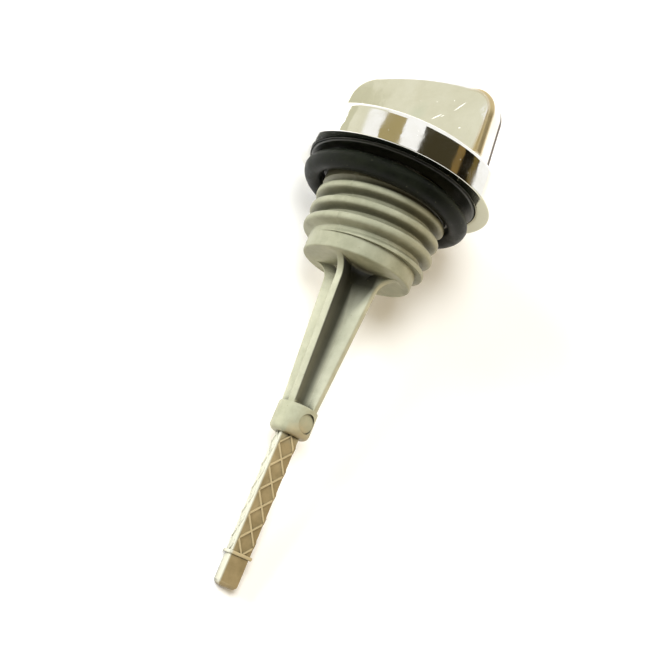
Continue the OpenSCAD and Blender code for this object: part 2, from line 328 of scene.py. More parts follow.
# Collar with the flat round mark that an ejector pin leaves
inside_r = 1.2
stem_round = 0.4
blade_round = 0.9
collar = turned("collar", [(inside_r, collar_z)]
                + rounded(collar_r - stem_round, collar_z + stem_round, stem_round, -90, 0, 5)
                + rounded(collar_r - blade_round, blade_z - blade_round, blade_round, 0, 90, 8)
                + [(inside_r, blade_z)], 96)
mark_r = 1.45
mark_depth = 1
mark_out = 2.55 + mark_depth / 2
mark_turn = math.radians(151)
mark_way = Vector((math.cos(mark_turn), math.sin(mark_turn), 0))
bpy.ops.object.select_all(action="DESELECT")
bpy.ops.mesh.primitive_cylinder_add(
    vertices=48, radius=mark_r * mm, depth=mark_depth * mm, rotation=(0, math.radians(90), mark_turn),
    location=(mark_out * mark_way + Vector((0, 0, (collar_z + blade_z) / 2))) * mm)
mark = bpy.context.object
bpy.ops.object.transform_apply(location=True, rotation=True, scale=True)
cut(collar, mark)
fuse(screw, collar)

# Square blade with softened edges and a rounded end
tip_round = 0.7
blade_edge = 0.14
bpy.ops.object.select_all(action="DESELECT")
bpy.ops.mesh.primitive_cube_add(size=1)
blade = bpy.context.object
blade.scale = (blade_w * mm, blade_w * mm, (tip_z - blade_z + 0.5) * mm)
blade.location = (0, 0, (tip_z + blade_z - 0.5) / 2 * mm)
bpy.ops.object.transform_apply(location=True, rotation=True, scale=True)
start_piece("blade")
pick(blade, lambda c, e: c.z > (tip_z - 0.1) * mm, "EDGE")
bpy.ops.mesh.bevel(offset=tip_round * mm, segments=6, affect="EDGES", profile=0.5)
pick(blade, lambda c, e: abs(e.verts[0].co.z - e.verts[1].co.z) > 5 * mm, "EDGE")
bpy.ops.mesh.bevel(offset=blade_edge * mm, segments=3, affect="EDGES", profile=0.5)

# Raised diamonds on each face: the face is cut along both sides of every ridge, and the ridges raised
hatch_pitch = 3.54
hatch_margin = 0.3
hatch_start = blade_z - 0.4
hatch_end = flange_z + 0.1
ridge_w = 0.34
ridge_h = 0.15
half = blade_w / 2
ridges = [((half - hatch_margin, blade_z + hatch_pitch * (i + 0.45)), math.radians(lean))
          for lean in (32, -40) for i in range(-2, 7)]


def on_side(face):
    """What turns the blade's +X side to one of its four sides."""
    return Matrix.Rotation(math.radians(90 * face), 3, "Z")


def in_hatch(face, place, normal):
    """A point's place across and along one side of the blade, where it lies in the hatched stretch."""
    local = on_side(face).transposed() @ place / mm
    level = (on_side(face).transposed() @ normal).x > 0.99 and local.x > half - 0.01
    if level and -half + 0.15 < local.y < half - hatch_margin and hatch_start < local.z < hatch_end:
        return local.y, local.z
    return None


def on_ridge(face, place, normal):
    """Whether a point lies on one of a side's ridges."""
    spot = in_hatch(face, place, normal)
    return spot is not None and any(
        abs((spot[0] - y) * math.cos(lean) + (spot[1] - z) * math.sin(lean)) < ridge_w / 2
        for (y, z), lean in ridges)


for face in range(4):
    side = on_side(face)
    for across, along, way in ((half - hatch_margin, 0, (0, 1, 0)), (0, hatch_start, (0, 0, 1)),
                               (0, hatch_end, (0, 0, 1))):
        pick(blade, lambda c, f: (side.transposed() @ f.normal).x > 0.99)
        bpy.ops.mesh.bisect(plane_co=side @ Vector((0, across, along)) * mm, plane_no=side @ Vector(way),
                            threshold=fine)
    for (y, z), lean in ridges:
        way = Vector((0, math.cos(lean), math.sin(lean)))
        for edge in (-ridge_w / 2, ridge_w / 2):
            pick(blade, lambda c, f: in_hatch(face, c, f.normal) is not None)
            bpy.ops.mesh.bisect(plane_co=side @ (Vector((0, y, z)) + edge * way) * mm, plane_no=side @ way,
                                threshold=fine)
    pick(blade, lambda c, f: on_ridge(face, c, f.normal))
    bpy.ops.mesh.inset(thickness=0.06 * mm, depth=ridge_h * mm)
bpy.ops.object.mode_set(mode="OBJECT")

# Thin flange at the oil's lower level
flange_w = blade_w + 0.64
flange_t = 0.5
bpy.ops.object.select_all(action="DESELECT")
bpy.ops.mesh.primitive_cube_add(size=1)
flange = bpy.context.object
flange.scale = (flange_w * mm, flange_w * mm, flange_t * mm)
flange.location = (0, 0, (flange_z + flange_t / 2) * mm)
bpy.ops.object.transform_apply(location=True, rotation=True, scale=True)
start_piece("flange")
bpy.ops.mesh.select_all(action="SELECT")
bpy.ops.mesh.bevel(offset=blade_edge * mm, segments=3, affect="EDGES", profile=0.5)
bpy.ops.object.mode_set(mode="OBJECT")
fuse(blade, flange)
fuse(screw, blade)


def lay_down(piece, crease=35):
    """Turns a piece from the upright screw axis to how the part lies, and smooths its shading."""
    bpy.ops.object.select_all(action="DESELECT")
    bpy.context.view_layer.objects.active = piece
    piece.select_set(True)
    piece.rotation_euler = (0, lie, 0)
    piece.location = axis_start
    bpy.ops.object.transform_apply(location=True, rotation=True, scale=True)
    bpy.ops.object.shade_smooth_by_angle(angle=math.radians(crease))


lay_down(screw)


def linear(hex_colour):
    """An sRGB hex colour as Blender's linear red, green, blue and alpha."""
    parts = [int(hex_colour[i:i + 2], 16) / 255 for i in (1, 3, 5)]
    return [c / 12.92 if c <= 0.04045 else ((c + 0.055) / 1.055) ** 2.4 for c in parts] + [1.0]


def add_node(material, kind, links=None, **settings):
    """A shader node, with its settings by name and its inputs given a value or another node's output."""
    node = material.node_tree.nodes.new("ShaderNode" + kind)
    ramp = settings.pop("ramp", None)
    for name, value in settings.items():
        setattr(node, name, value)
    if ramp:
        while len(node.color_ramp.elements) < len(ramp):
            node.color_ramp.elements.new(0.5)
        for element, (place, colour) in zip(node.color_ramp.elements, ramp):
            element.position = place
            element.color = colour if isinstance(colour, list) else (colour, colour, colour, 1)
    for name, value in (links or {}).items():
        socket = node.inputs[name]
        if isinstance(value, bpy.types.NodeSocket):
            material.node_tree.links.new(value, socket)
        else:
            socket.default_value = value
    return node


def new_material(name):
    material = bpy.data.materials.new(name)
    material.use_nodes = True
    material.node_tree.nodes.clear()
    return material


def on_axis(material):
    """A point's place on the upright screw axis, in millimetres: a pattern's scale is its count per mm."""
    place = add_node(material, "TexCoord").outputs["Object"]
    return add_node(material, "Mapping", {"Vector": place, "Location": axis_start, "Rotation": (0, lie, 0),
                                          "Scale": (mm, mm, mm)}, vector_type="TEXTURE").outputs["Vector"]


# Filled nylon, moulded: a satin skin with faint flow marks, oil that wets the screw, lies in the roots
# of the thread and has dried in specks, and painted light: warm shade on the blade, highlights on its
# ridges and lit side, and shade in the hollows and valleys. Its tone is mottled over about 3 mm.
nylon = new_material("moulded filled nylon, oil stained")
place = on_axis(nylon)
sides = add_node(nylon, "SeparateXYZ", {"Vector": place})
along = sides.outputs["Z"]
mottle = add_node(nylon, "TexNoise", {"Vector": place, "Scale": 0.35, "Detail": 5.0, "Roughness": 0.62})
tone = add_node(nylon, "ValToRGB", {"Fac": mottle.outputs["Fac"]},
                ramp=((0.3, linear("#909179")), (0.7, linear("#adad95"))))

# Painted warm shade: the stick is browned from a wavy line at the collar down, standing for the warm
# light on the sides turned away from the lamps, but its side toward the light is left out
wavy = add_node(nylon, "Math", {0: mottle.outputs["Fac"], 1: 6.0, 2: along}, operation="MULTIPLY_ADD")
warm_shade_share = add_node(nylon, "MapRange", {
    "Value": wavy.outputs[0], "From Min": collar_z + 5, "From Max": collar_z + 9, "To Max": 0.9})
off_lit_side = add_node(nylon, "MapRange", {"Value": sides.outputs["Y"], "From Min": -1.4, "From Max": -1.1,
                                     "To Min": 0.05, "To Max": 1.0})
warm_shade_share = add_node(nylon, "Math", {0: warm_shade_share.outputs[0], 1: off_lit_side.outputs[0]}, operation="MULTIPLY")
warm_shade_tone = add_node(nylon, "ValToRGB", {"Fac": mottle.outputs["Fac"]},
                      ramp=((0.35, linear("#7b6945")), (0.65, linear("#95815a"))))
painted_light = add_node(nylon, "Mix", {0: warm_shade_share.outputs[0], 6: tone.outputs["Color"],
                                  7: warm_shade_tone.outputs["Color"]}, data_type="RGBA")

# Painted highlight: the hatching's ridges and the flange are made lighter than what lies between them
outward = add_node(nylon, "VectorMath", {0: place}, operation="ABSOLUTE")
outward = add_node(nylon, "SeparateXYZ", {"Vector": outward.outputs["Vector"]})
outward = add_node(nylon, "Math", {0: outward.outputs["X"], 1: outward.outputs["Y"]}, operation="MAXIMUM")
raised = add_node(nylon, "MapRange", {"Value": outward.outputs[0], "From Min": half + 0.05,
                                      "From Max": half + 0.12, "To Max": 0.65})
raised = add_node(nylon, "Math", {0: raised.outputs[0], 1: warm_shade_share.outputs[0]}, operation="MULTIPLY")
painted_light = add_node(nylon, "Mix", {0: raised.outputs[0], 6: painted_light.outputs[2], 7: linear("#c0b08a")},
                   data_type="RGBA")

# The stem from the pilot to the collar is made a little paler, and the blade's side toward the light gets a
# painted highlight
above_stem = add_node(nylon, "MapRange", {"Value": along, "From Min": pilot_end, "From Max": pilot_end + 3})
on_ribs = add_node(nylon, "MapRange", {"Value": along, "From Min": collar_z + 0.2, "From Max": collar_z - 1})
paler_stem_and_lit_side = add_node(nylon, "Math", {0: above_stem.outputs[0], 1: on_ribs.outputs[0]}, operation="MULTIPLY")
paler_stem_and_lit_side = add_node(nylon, "Math", {0: paler_stem_and_lit_side.outputs[0], 1: 0.16}, operation="MULTIPLY")
pale = add_node(nylon, "MapRange", {"Value": sides.outputs["Y"], "From Min": -1.1, "From Max": -1.4,
                                    "To Max": 0.7})
on_blade = add_node(nylon, "MapRange", {"Value": along, "From Min": blade_z - 0.2, "From Max": blade_z + 0.4})
pale = add_node(nylon, "Math", {0: pale.outputs[0], 1: on_blade.outputs[0]}, operation="MULTIPLY")
paler_stem_and_lit_side = add_node(nylon, "Math", {0: paler_stem_and_lit_side.outputs[0], 1: pale.outputs[0]}, operation="MAXIMUM")
paled_and_highlit = add_node(nylon, "Mix", {0: paler_stem_and_lit_side.outputs[0], 6: painted_light.outputs[2], 7: linear("#d2d1c2")},
                   data_type="RGBA")

# Oil wets the screw. Painted shade darkens every hollow that is within 4 mm of other walls, by ambient
# occlusion; in the thread's roots it stands for oil grime as well
wetted = add_node(nylon, "MapRange", {"Value": along, "From Min": pilot_end - 0.4,
                                      "From Max": pilot_end + 0.4, "To Min": 0.22, "To Max": 0.0})
wet = add_node(nylon, "Mix", {0: wetted.outputs[0], 6: paled_and_highlit.outputs[2], 7: linear("#1c1c13")},
               data_type="RGBA")
open_share = add_node(nylon, "AmbientOcclusion", {"Distance": 0.004}, samples=8)
occluded_shade = add_node(nylon, "ValToRGB", {"Fac": open_share.outputs["AO"]}, ramp=((0.18, 0.95), (0.76, 0.0)))
shaded_hollows = add_node(nylon, "Mix", {0: occluded_shade.outputs["Color"], 6: wet.outputs[2], 7: linear("#33311f")},
                 data_type="RGBA")

# Painted shadow in the valleys of the stem, deepest at the pilot
below = add_node(nylon, "MapRange", {"Value": along, "From Min": pilot_end - 0.1,
                                     "From Max": pilot_end + 0.3})
shadow_depth = add_node(nylon, "MapRange", {"Value": along, "From Min": pilot_end, "From Max": blade_z,
                                       "To Min": 1.9, "To Max": 1.2})
valley_shadow = add_node(nylon, "Math", {0: below.outputs[0], 1: shadow_depth.outputs[0]}, operation="MULTIPLY")
valley_shadow = add_node(nylon, "Math", {0: valley_shadow.outputs[0], 1: occluded_shade.outputs["Color"]}, operation="MULTIPLY")
on_stem = add_node(nylon, "MapRange", {"Value": along, "From Min": blade_z - 0.2, "From Max": blade_z + 0.4,
                                       "To Min": 1.0, "To Max": 0.35})
valley_shadow = add_node(nylon, "Math", {0: valley_shadow.outputs[0], 1: on_stem.outputs[0]}, operation="MULTIPLY",
                  use_clamp=True)

# Painted shadow also lies on the wall and the floor of the valley that lies uppermost, on the faces turned
# away from the light
wall_turn = math.radians(135)
wall_way = Matrix.Rotation(lie, 3, "Y") @ Vector((math.cos(wall_turn), math.sin(wall_turn), 0))
normal = add_node(nylon, "NewGeometry").outputs["Normal"]
facing = add_node(nylon, "VectorMath", {0: normal, 1: wall_way}, operation="DOT_PRODUCT")
shade_side = add_node(nylon, "MapRange", {"Value": facing.outputs["Value"], "From Min": 0.2, "From Max": 0.8})
near_flare = add_node(nylon, "MapRange", {"Value": along, "From Min": pilot_end + 9,
                                          "From Max": pilot_end + 2})
hollow = add_node(nylon, "Math", {0: sides.outputs["X"], 1: sides.outputs["Y"]}, operation="ADD")
hollow = add_node(nylon, "MapRange", {"Value": hollow.outputs[0], "From Min": -3.6, "From Max": -2.8})
filled = add_node(nylon, "Math", {0: near_flare.outputs[0], 1: hollow.outputs[0]}, operation="MULTIPLY")
shade_side = add_node(nylon, "Math", {0: filled.outputs[0], 1: shade_side.outputs[0]}, operation="MAXIMUM")
reach = add_node(nylon, "Math", {0: near_flare.outputs[0], 1: -1.9, 2: sides.outputs["Y"]},
                 operation="MULTIPLY_ADD")
beside = add_node(nylon, "MapRange", {"Value": reach.outputs[0], "From Min": 0.4, "From Max": 1.3,
                                      "To Min": 1.0, "To Max": 0.0})
in_valley = add_node(nylon, "MapRange", {"Value": sides.outputs["X"], "From Min": -0.2, "From Max": -0.7})
shade_fading = add_node(nylon, "MapRange", {"Value": along, "From Min": pilot_end + 1, "From Max": collar_z - 1,
                                        "To Min": 1.0, "To Max": 0.72})
ends = add_node(nylon, "MapRange", {"Value": along, "From Min": collar_z, "From Max": collar_z - 0.4})
run = shade_side
for share in (beside, in_valley, shade_fading, ends, below):
    run = add_node(nylon, "Math", {0: run.outputs[0], 1: share.outputs[0]}, operation="MULTIPLY")
valley_shadow = add_node(nylon, "Math", {0: valley_shadow.outputs[0], 1: run.outputs[0]}, operation="MAXIMUM")
# The painted shadow of the valleys is mixed in here
oiled = add_node(nylon, "Mix", {0: valley_shadow.outputs[0], 6: shaded_hollows.outputs[2], 7: linear("#1c1c12")},
                 data_type="RGBA")

# Dried specks about 1 mm apart, a grain of 0.2 mm, coarser than the real one so that it shows, and
# flow marks 0.5 mm wide and 8 mm long
speck = add_node(nylon, "TexVoronoi", {"Vector": place, "Scale": 0.9})
speckle = add_node(nylon, "ValToRGB", {"Fac": speck.outputs["Distance"]}, ramp=((0.05, 0.35), (0.09, 0.0)))
specked = add_node(nylon, "Mix", {0: speckle.outputs["Color"], 6: oiled.outputs[2], 7: linear("#6b6648")},
                   data_type="RGBA")
grain = add_node(nylon, "TexNoise", {"Vector": place, "Scale": 5.0, "Detail": 3.0})
flow = add_node(nylon, "Mapping", {"Vector": place, "Scale": (2.2, 2.2, 0.12)})
streaks = add_node(nylon, "TexNoise", {"Vector": flow.outputs["Vector"], "Scale": 1.0, "Detail": 3.0})
relief = add_node(nylon, "Math", {0: streaks.outputs["Fac"], 1: 0.8, 2: grain.outputs["Fac"]},
                  operation="MULTIPLY_ADD")
bump = add_node(nylon, "Bump", {"Height": relief.outputs[0], "Strength": 0.25, "Distance": 0.00006})
sheen = add_node(nylon, "MapRange", {"Value": streaks.outputs["Fac"], "To Min": 0.36, "To Max": 0.56})
skin = add_node(nylon, "BsdfPrincipled", {
    "Base Color": specked.outputs[2], "Roughness": sheen.outputs[0], "IOR": 1.53,
    "Normal": bump.outputs["Normal"]})
add_node(nylon, "OutputMaterial", {"Surface": skin.outputs["BSDF"]})


def dress(piece, material, node):
    """Gives a finished piece its material and lets it stand for a solid of the frame."""
    piece.data.materials.clear()
    piece.data.materials.append(material)
    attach(piece, "root")
    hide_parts(node)


dress(screw, nylon, "dipstick_body")


# Sealing ring. Black nitrile rubber of round section, pressed in a two-part mould that leaves a
# fine flash line round its outside. It hangs loose on the neck, a little askew and off its seat.
def spun(name, outline, sides):
    """A ring-shaped piece: a closed outline of radius and height, spun once round the axis."""
    piece = outlined(name, [(radius, 0, height) for radius, height in outline])
    bpy.ops.mesh.delete(type="ONLY_FACE")
    bpy.ops.mesh.select_all(action="SELECT")
    bpy.ops.mesh.spin(steps=sides, angle=2 * math.pi, center=(0, 0, 0), axis=(0, 0, 1))
    bpy.ops.mesh.select_all(action="SELECT")
    bpy.ops.mesh.remove_doubles(threshold=fine)
    bpy.ops.mesh.normals_make_consistent(inside=False)
    bpy.ops.object.mode_set(mode="OBJECT")
    return piece


ring_r = 1.5
ring_play = 0.4
ring_touch = 0.05
ring_z = 2.55
ring_middle = neck_r + ring_play + ring_r
ring_askew = math.radians(1.8)
askew_turn = math.radians(15)
ring_steps = 48
section = []
for step in range(ring_steps):
    a = 2 * math.pi * step / ring_steps
    flash = 0.035 if step in (0, ring_steps / 2) else 0
    section.append((ring_middle + (ring_r - 0.03 + flash) * math.cos(a), (ring_r - 0.02) * math.sin(a)))
ring = spun("sealing_ring_rubber", section, 180)
bpy.ops.object.mode_set(mode="EDIT")
mesh = bmesh.from_edit_mesh(ring.data)
for vertex in mesh.verts:
    around = math.atan2(vertex.co.y, vertex.co.x)
    scale = 1 + 0.004 * math.sin(3 * around + 0.7) + 0.002 * math.sin(7 * around)
    vertex.co.x *= scale
    vertex.co.y *= scale
bmesh.update_edit_mesh(ring.data)
bpy.ops.object.mode_set(mode="OBJECT")
askew = Matrix.Rotation(ring_askew, 4, Vector((math.cos(askew_turn), math.sin(askew_turn), 0)))
ring.matrix_world = Matrix.Translation(Vector((ring_play - ring_touch, 0, ring_z)) * mm) @ askew
bpy.ops.object.transform_apply(location=True, rotation=True, scale=True)
lay_down(ring, 60)

# Nitrile rubber, pressed and oiled: black with a green cast, half dull, with dust caught in the oil.
# The film of oil varies over 2 mm, dust lies 0.7 mm apart, and the grain is drawn at 0.14 mm to show.
rubber = new_material("nitrile rubber, pressed and oiled")
place = on_axis(rubber)
film = add_node(rubber, "TexNoise", {"Vector": place, "Scale": 0.5, "Detail": 6.0, "Roughness": 0.65})
black = add_node(rubber, "ValToRGB", {"Fac": film.outputs["Fac"]},
                 ramp=((0.35, linear("#0b0d0a")), (0.7, linear("#171a12"))))
dust = add_node(rubber, "TexVoronoi", {"Vector": place, "Scale": 1.4})
dusty = add_node(rubber, "ValToRGB", {"Fac": dust.outputs["Distance"]}, ramp=((0.06, 0.5), (0.11, 0.0)))
dusted = add_node(rubber, "Mix", {0: dusty.outputs["Color"], 6: black.outputs["Color"], 7: linear("#6a6a55")},
                  data_type="RGBA")
gloss = add_node(rubber, "MapRange", {"Value": film.outputs["Fac"], "From Min": 0.3, "From Max": 0.7,
                                      "To Min": 0.34, "To Max": 0.55})
grain = add_node(rubber, "TexNoise", {"Vector": place, "Scale": 7.0, "Detail": 3.0})
bump = add_node(rubber, "Bump", {"Height": grain.outputs["Fac"], "Strength": 0.3, "Distance": 0.00005})
skin = add_node(rubber, "BsdfPrincipled", {
    "Base Color": dusted.outputs[2], "Roughness": gloss.outputs[0], "IOR": 1.5, "Specular IOR Level": 0.13,
    "Normal": bump.outputs["Normal"]})
add_node(rubber, "OutputMaterial", {"Surface": skin.outputs["BSDF"]})
dress(ring, rubber, "sealing_ring")

# Base plate. A black moulded disc with a hole for the neck, pushed into the cover's skirt. Its
# face is the ring's seat, and its rounded edge stands just proud of the rim.
cover_r = 15.19
bore_r = 12.98
plate_fit = 0.05
plate_r = bore_r - plate_fit
plate_round = 0.25
plate_top = 0.2
roof_under = -3.6
hole_r = neck_r + plate_fit
plate_line = ([(hole_r, roof_under), (plate_r - 0.2, roof_under), (plate_r, roof_under + 0.2),
               (plate_r, -0.6)]
              + rounded(plate_r - plate_round, plate_top - plate_round, plate_round, 0, 90)
              + [(11.4, plate_top), (hole_r + 0.15, plate_top), (hole_r, plate_top - 0.15)])
plate = spun("base_plate_disc", plate_line, 160)
lay_down(plate)

# Acetal, moulded: black and smooth, with the fine turning marks of the mould's face every 0.1 mm
acetal = new_material("moulded acetal, black")
place = on_axis(acetal)
flat = add_node(acetal, "Mapping", {"Vector": place, "Scale": (1, 1, 0)})
reach = add_node(acetal, "VectorMath", {0: flat.outputs["Vector"]}, operation="LENGTH")
rings = add_node(acetal, "TexNoise", {"W": reach.outputs["Value"], "Scale": 9.0, "Detail": 2.0},
                 noise_dimensions="1D")
smear = add_node(acetal, "TexNoise", {"Vector": place, "Scale": 0.6, "Detail": 5.0})
black = add_node(acetal, "ValToRGB", {"Fac": smear.outputs["Fac"]},
                 ramp=((0.35, linear("#151713")), (0.7, linear("#26281f"))))
bump = add_node(acetal, "Bump", {"Height": rings.outputs["Fac"], "Strength": 0.2, "Distance": 0.00004})
gloss = add_node(acetal, "MapRange", {"Value": smear.outputs["Fac"], "To Min": 0.22, "To Max": 0.45})
skin = add_node(acetal, "BsdfPrincipled", {
    "Base Color": black.outputs["Color"], "Roughness": gloss.outputs[0], "IOR": 1.48,
    "Normal": bump.outputs["Normal"]})
add_node(acetal, "OutputMaterial", {"Surface": skin.outputs["BSDF"]})
dress(plate, acetal, "base_plate")

# Cover. Injection-moulded ABS, copper and nickel plated and then chromed: a cup with a wide flat
# polished rim, a rounded shoulder and a hollow wing grip that grows out of its slightly domed roof.
cover_h = 5.1
roof_crown = 0.6
skirt_top = 15.08
shoulder_r = 1
roof_r = skirt_top - shoulder_r
rim_round = 0.12
cup_line = ([(bore_r - 0.3, roof_under), (bore_r, roof_under + 0.3), (bore_r, -0.3), (bore_r + 0.1, -0.08),
             (bore_r + 0.2, 0), (13.6, 0), (14.4, 0), (14.9, 0)]
            + rounded(cover_r - rim_round, -rim_round, rim_round, 90, 0) + [(15.16, -1.5), (15.12, -2.8)]
            + rounded(roof_r, shoulder_r - cover_h, shoulder_r, 0, -90, 12)
            + [(r, -cover_h - roof_crown * (1 - (r / roof_r) ** 2)) for r in (13, 11.5, 10, 8, 6, 4, 2, 0.7)])
cover = turned("chrome_cover_plated", cup_line, 192)

wing_turn = math.radians(138.5)
wing_half = 13.2
wing_lean = 0.6
wing_top = 17.6
wing_rise = 0.7
corner_r = 4.4
wing_side = 2.6
wing_draft = 0.3
wing_edge = 0.95
sunk = 4.7
corner_x = wing_half - wing_lean - corner_r
corner_z = wing_top - wing_rise - corner_r
right_side = [(wing_half, sunk)] + rounded(corner_x, corner_z, corner_r, 0, 84, 14)
crown = [(corner_x * s / 6, wing_top - wing_rise * (s / 6) ** 2) for s in range(6, -7, -1)]
wing_line = right_side + crown + [(-x, z) for x, z in reversed(right_side)]
wing = outlined("wing", [(x, -wing_side, -z) for x, z in wing_line])
bpy.ops.mesh.extrude_region_move(TRANSFORM_OT_translate={"value": (0, 2 * wing_side * mm, 0)})
mesh = bmesh.from_edit_mesh(wing.data)
for vertex in mesh.verts:
    up = (-vertex.co.z / mm - cover_h) / (wing_top - cover_h)
    vertex.co.y *= 1 - wing_draft / wing_side * up
bmesh.update_edit_mesh(wing.data)
bpy.ops.mesh.select_all(action="SELECT")
bpy.ops.mesh.normals_make_consistent(inside=False)
pick(wing, lambda c, e: abs(e.verts[0].co.y - e.verts[1].co.y) < 0.5 * mm
     and -c.z > (sunk + 0.01) * mm, "EDGE")
bpy.ops.mesh.bevel(offset=wing_edge * mm, segments=8, affect="EDGES", profile=0.5)
pick(wing, lambda c, f: abs(f.normal.y) > 0.99)
bpy.ops.mesh.inset(thickness=0.1 * mm)

# The foot: the wing is cut across at many heights, and each cut is drawn out into a fillet on the roof
foot_r = 1.2
foot_end_r = 0.6
for step in range(26):
    bpy.ops.mesh.select_all(action="SELECT")
    bpy.ops.mesh.bisect(plane_co=(0, 0, -(sunk + 0.1 + 0.1 * step) * mm), plane_no=(0, 0, 1), threshold=fine)
mesh = bmesh.from_edit_mesh(wing.data)
for vertex in mesh.verts:
    x, y, z = vertex.co / mm
    roof = cover_h + roof_crown * (1 - min(1, math.hypot(x, y) / roof_r) ** 2)
    for size, axis_number, side in ((foot_r, 1, y), (foot_end_r, 0, x)):
        above = -z - roof
        if above < size:
            spread = size - math.sqrt(size ** 2 - (size - max(0, above)) ** 2)
            weight = min(1, abs(side) / (wing_side if axis_number else wing_half))
            vertex.co[axis_number] += math.copysign(spread * weight * mm, side)
bmesh.update_edit_mesh(wing.data)
bpy.ops.object.mode_set(mode="OBJECT")
wing.rotation_euler = (0, 0, wing_turn)
bpy.ops.object.transform_apply(location=True, rotation=True, scale=True)
fuse(cover, wing)
lay_down(cover, 40)

# Bright chrome plate over moulded ABS: a cold mirror that waves a little with the moulding under
# it, with hairline wiping marks, a few deeper scratches, a greasy film and specks of dust. The
# film varies over 4.5 mm, and few of the specks, 0.7 mm apart, are drawn.
chrome = new_material("bright chrome plate on moulded ABS")
place = on_axis(chrome)
on_wing = add_node(chrome, "Mapping", {"Vector": place, "Rotation": (0, 0, wing_turn)},
                   vector_type="TEXTURE").outputs["Vector"]
film = add_node(chrome, "TexNoise", {"Vector": place, "Scale": 0.22, "Detail": 6.0, "Roughness": 0.6})
haze = add_node(chrome, "MapRange", {"Value": film.outputs["Fac"], "From Min": 0.4, "From Max": 0.75,
                                     "To Min": 0.05, "To Max": 0.2})
plate_tone = add_node(chrome, "ValToRGB", {"Fac": film.outputs["Fac"]},
                      ramp=((0.35, linear("#ffffff")), (0.7, linear("#f3f2ec"))))
dust = add_node(chrome, "TexVoronoi", {"Vector": place, "Scale": 1.5})
few = add_node(chrome, "SeparateColor", {"Color": dust.outputs["Color"]})
chosen = add_node(chrome, "Math", {0: few.outputs[0], 1: 0.86}, operation="GREATER_THAN")
spot = add_node(chrome, "ValToRGB", {"Fac": dust.outputs["Distance"]}, ramp=((0.07, 0.8), (0.12, 0.0)))
marks = add_node(chrome, "Math", {0: spot.outputs["Color"], 1: chosen.outputs[0]},
                 operation="MULTIPLY").outputs[0]

# Scratches on the wing's face: place along it and up it, lean in degrees, half length and half width
scratches = ((4.2, -10.95, 37, 0.95, 0.11), (7.3, -13.1, 50, 1.2, 0.1), (5.1, -11.2, 30, 0.35, 0.06),
             (-3.6, -7.4, 70, 0.22, 0.12), (8.6, -9.6, 20, 0.2, 0.09))
for u, z, lean, long, wide in scratches:
    spot = add_node(chrome, "Mapping", {
        "Vector": on_wing, "Location": (u, 0, z), "Rotation": (0, math.radians(lean), 0),
        "Scale": (long, 100, wide)}, vector_type="TEXTURE")
    away = add_node(chrome, "VectorMath", {0: spot.outputs["Vector"]}, operation="LENGTH")
    scratch = add_node(chrome, "MapRange", {"Value": away.outputs["Value"], "From Min": 1.0, "From Max": 0.5})
    marks = add_node(chrome, "Math", {0: marks, 1: scratch.outputs[0]}, operation="MAXIMUM").outputs[0]

# Wiping hairlines 3 mm long and 0.1 mm wide, on a plate that waves over 3 mm and over 0.7 mm
hair = add_node(chrome, "Mapping", {"Vector": on_wing, "Rotation": (0, math.radians(-38), 0),
                                    "Scale": (0.25, 1, 7)})
hairs = add_node(chrome, "TexNoise", {"Vector": hair.outputs["Vector"], "Scale": 1.2, "Detail": 4.0})
wave = add_node(chrome, "TexNoise", {"Vector": place, "Scale": 0.3, "Detail": 1.0})
peel = add_node(chrome, "TexNoise", {"Vector": place, "Scale": 1.5, "Detail": 2.0})
uneven = add_node(chrome, "Math", {0: peel.outputs["Fac"], 1: 0.12, 2: wave.outputs["Fac"]},
                  operation="MULTIPLY_ADD")
hair_depth = add_node(chrome, "Math", {0: hairs.outputs["Fac"], 1: 0.012, 2: uneven.outputs[0]},
                      operation="MULTIPLY_ADD")
bump = add_node(chrome, "Bump", {"Height": hair_depth.outputs[0], "Strength": 1.0, "Distance": 0.00005})

# A greasy thumb mark in the middle of the wing's face
smear = add_node(chrome, "Mapping", {"Vector": on_wing, "Location": (0.9, 0, -11.2), "Scale": (1.6, 100, 2.4),
                                     "Rotation": (0, math.radians(-15), 0)}, vector_type="TEXTURE")
away = add_node(chrome, "VectorMath", {0: smear.outputs["Vector"]}, operation="LENGTH")
ragged = add_node(chrome, "Math", {0: film.outputs["Fac"], 1: 1.6, 2: away.outputs["Value"]},
                  operation="MULTIPLY_ADD")
smeared = add_node(chrome, "MapRange", {"Value": ragged.outputs[0], "From Min": 1.8, "From Max": 1.0,
                                        "To Max": 0.3})
filmed = add_node(chrome, "Mix", {0: smeared.outputs[0], 6: plate_tone.outputs["Color"],
                                  7: linear("#dcebe4")}, data_type="RGBA")

# The front edge at the wing's one end, where fingers turn it, is worn brown
sides = add_node(chrome, "SeparateXYZ", {"Vector": on_wing})
mirrored = add_node(chrome, "VectorMath", {0: on_wing}, operation="ABSOLUTE")
corner = add_node(chrome, "VectorMath", {0: mirrored.outputs["Vector"], 1: (corner_x + 0.1, 99, corner_z)},
                  operation="SUBTRACT")
corner = add_node(chrome, "VectorMath", {0: corner.outputs["Vector"], 1: (0, 0, 0)}, operation="MAXIMUM")
from_corner = add_node(chrome, "VectorMath", {0: corner.outputs["Vector"]}, operation="LENGTH")
edge = add_node(chrome, "MapRange", {"Value": from_corner.outputs["Value"], "From Min": corner_r - 1.1,
                                     "From Max": corner_r - 0.5})
at_end = add_node(chrome, "MapRange", {"Value": sides.outputs["X"], "From Min": 7.0, "From Max": 9.5})
in_front = add_node(chrome, "MapRange", {"Value": sides.outputs["Y"], "From Min": 1.2, "From Max": 1.7})
over_roof = add_node(chrome, "MapRange", {"Value": sides.outputs["Z"], "From Min": -5.7, "From Max": -6.3})
at_end = add_node(chrome, "Math", {0: at_end.outputs[0], 1: over_roof.outputs[0]}, operation="MULTIPLY")
rubbed = add_node(chrome, "Math", {0: edge.outputs[0], 1: at_end.outputs[0]}, operation="MULTIPLY")
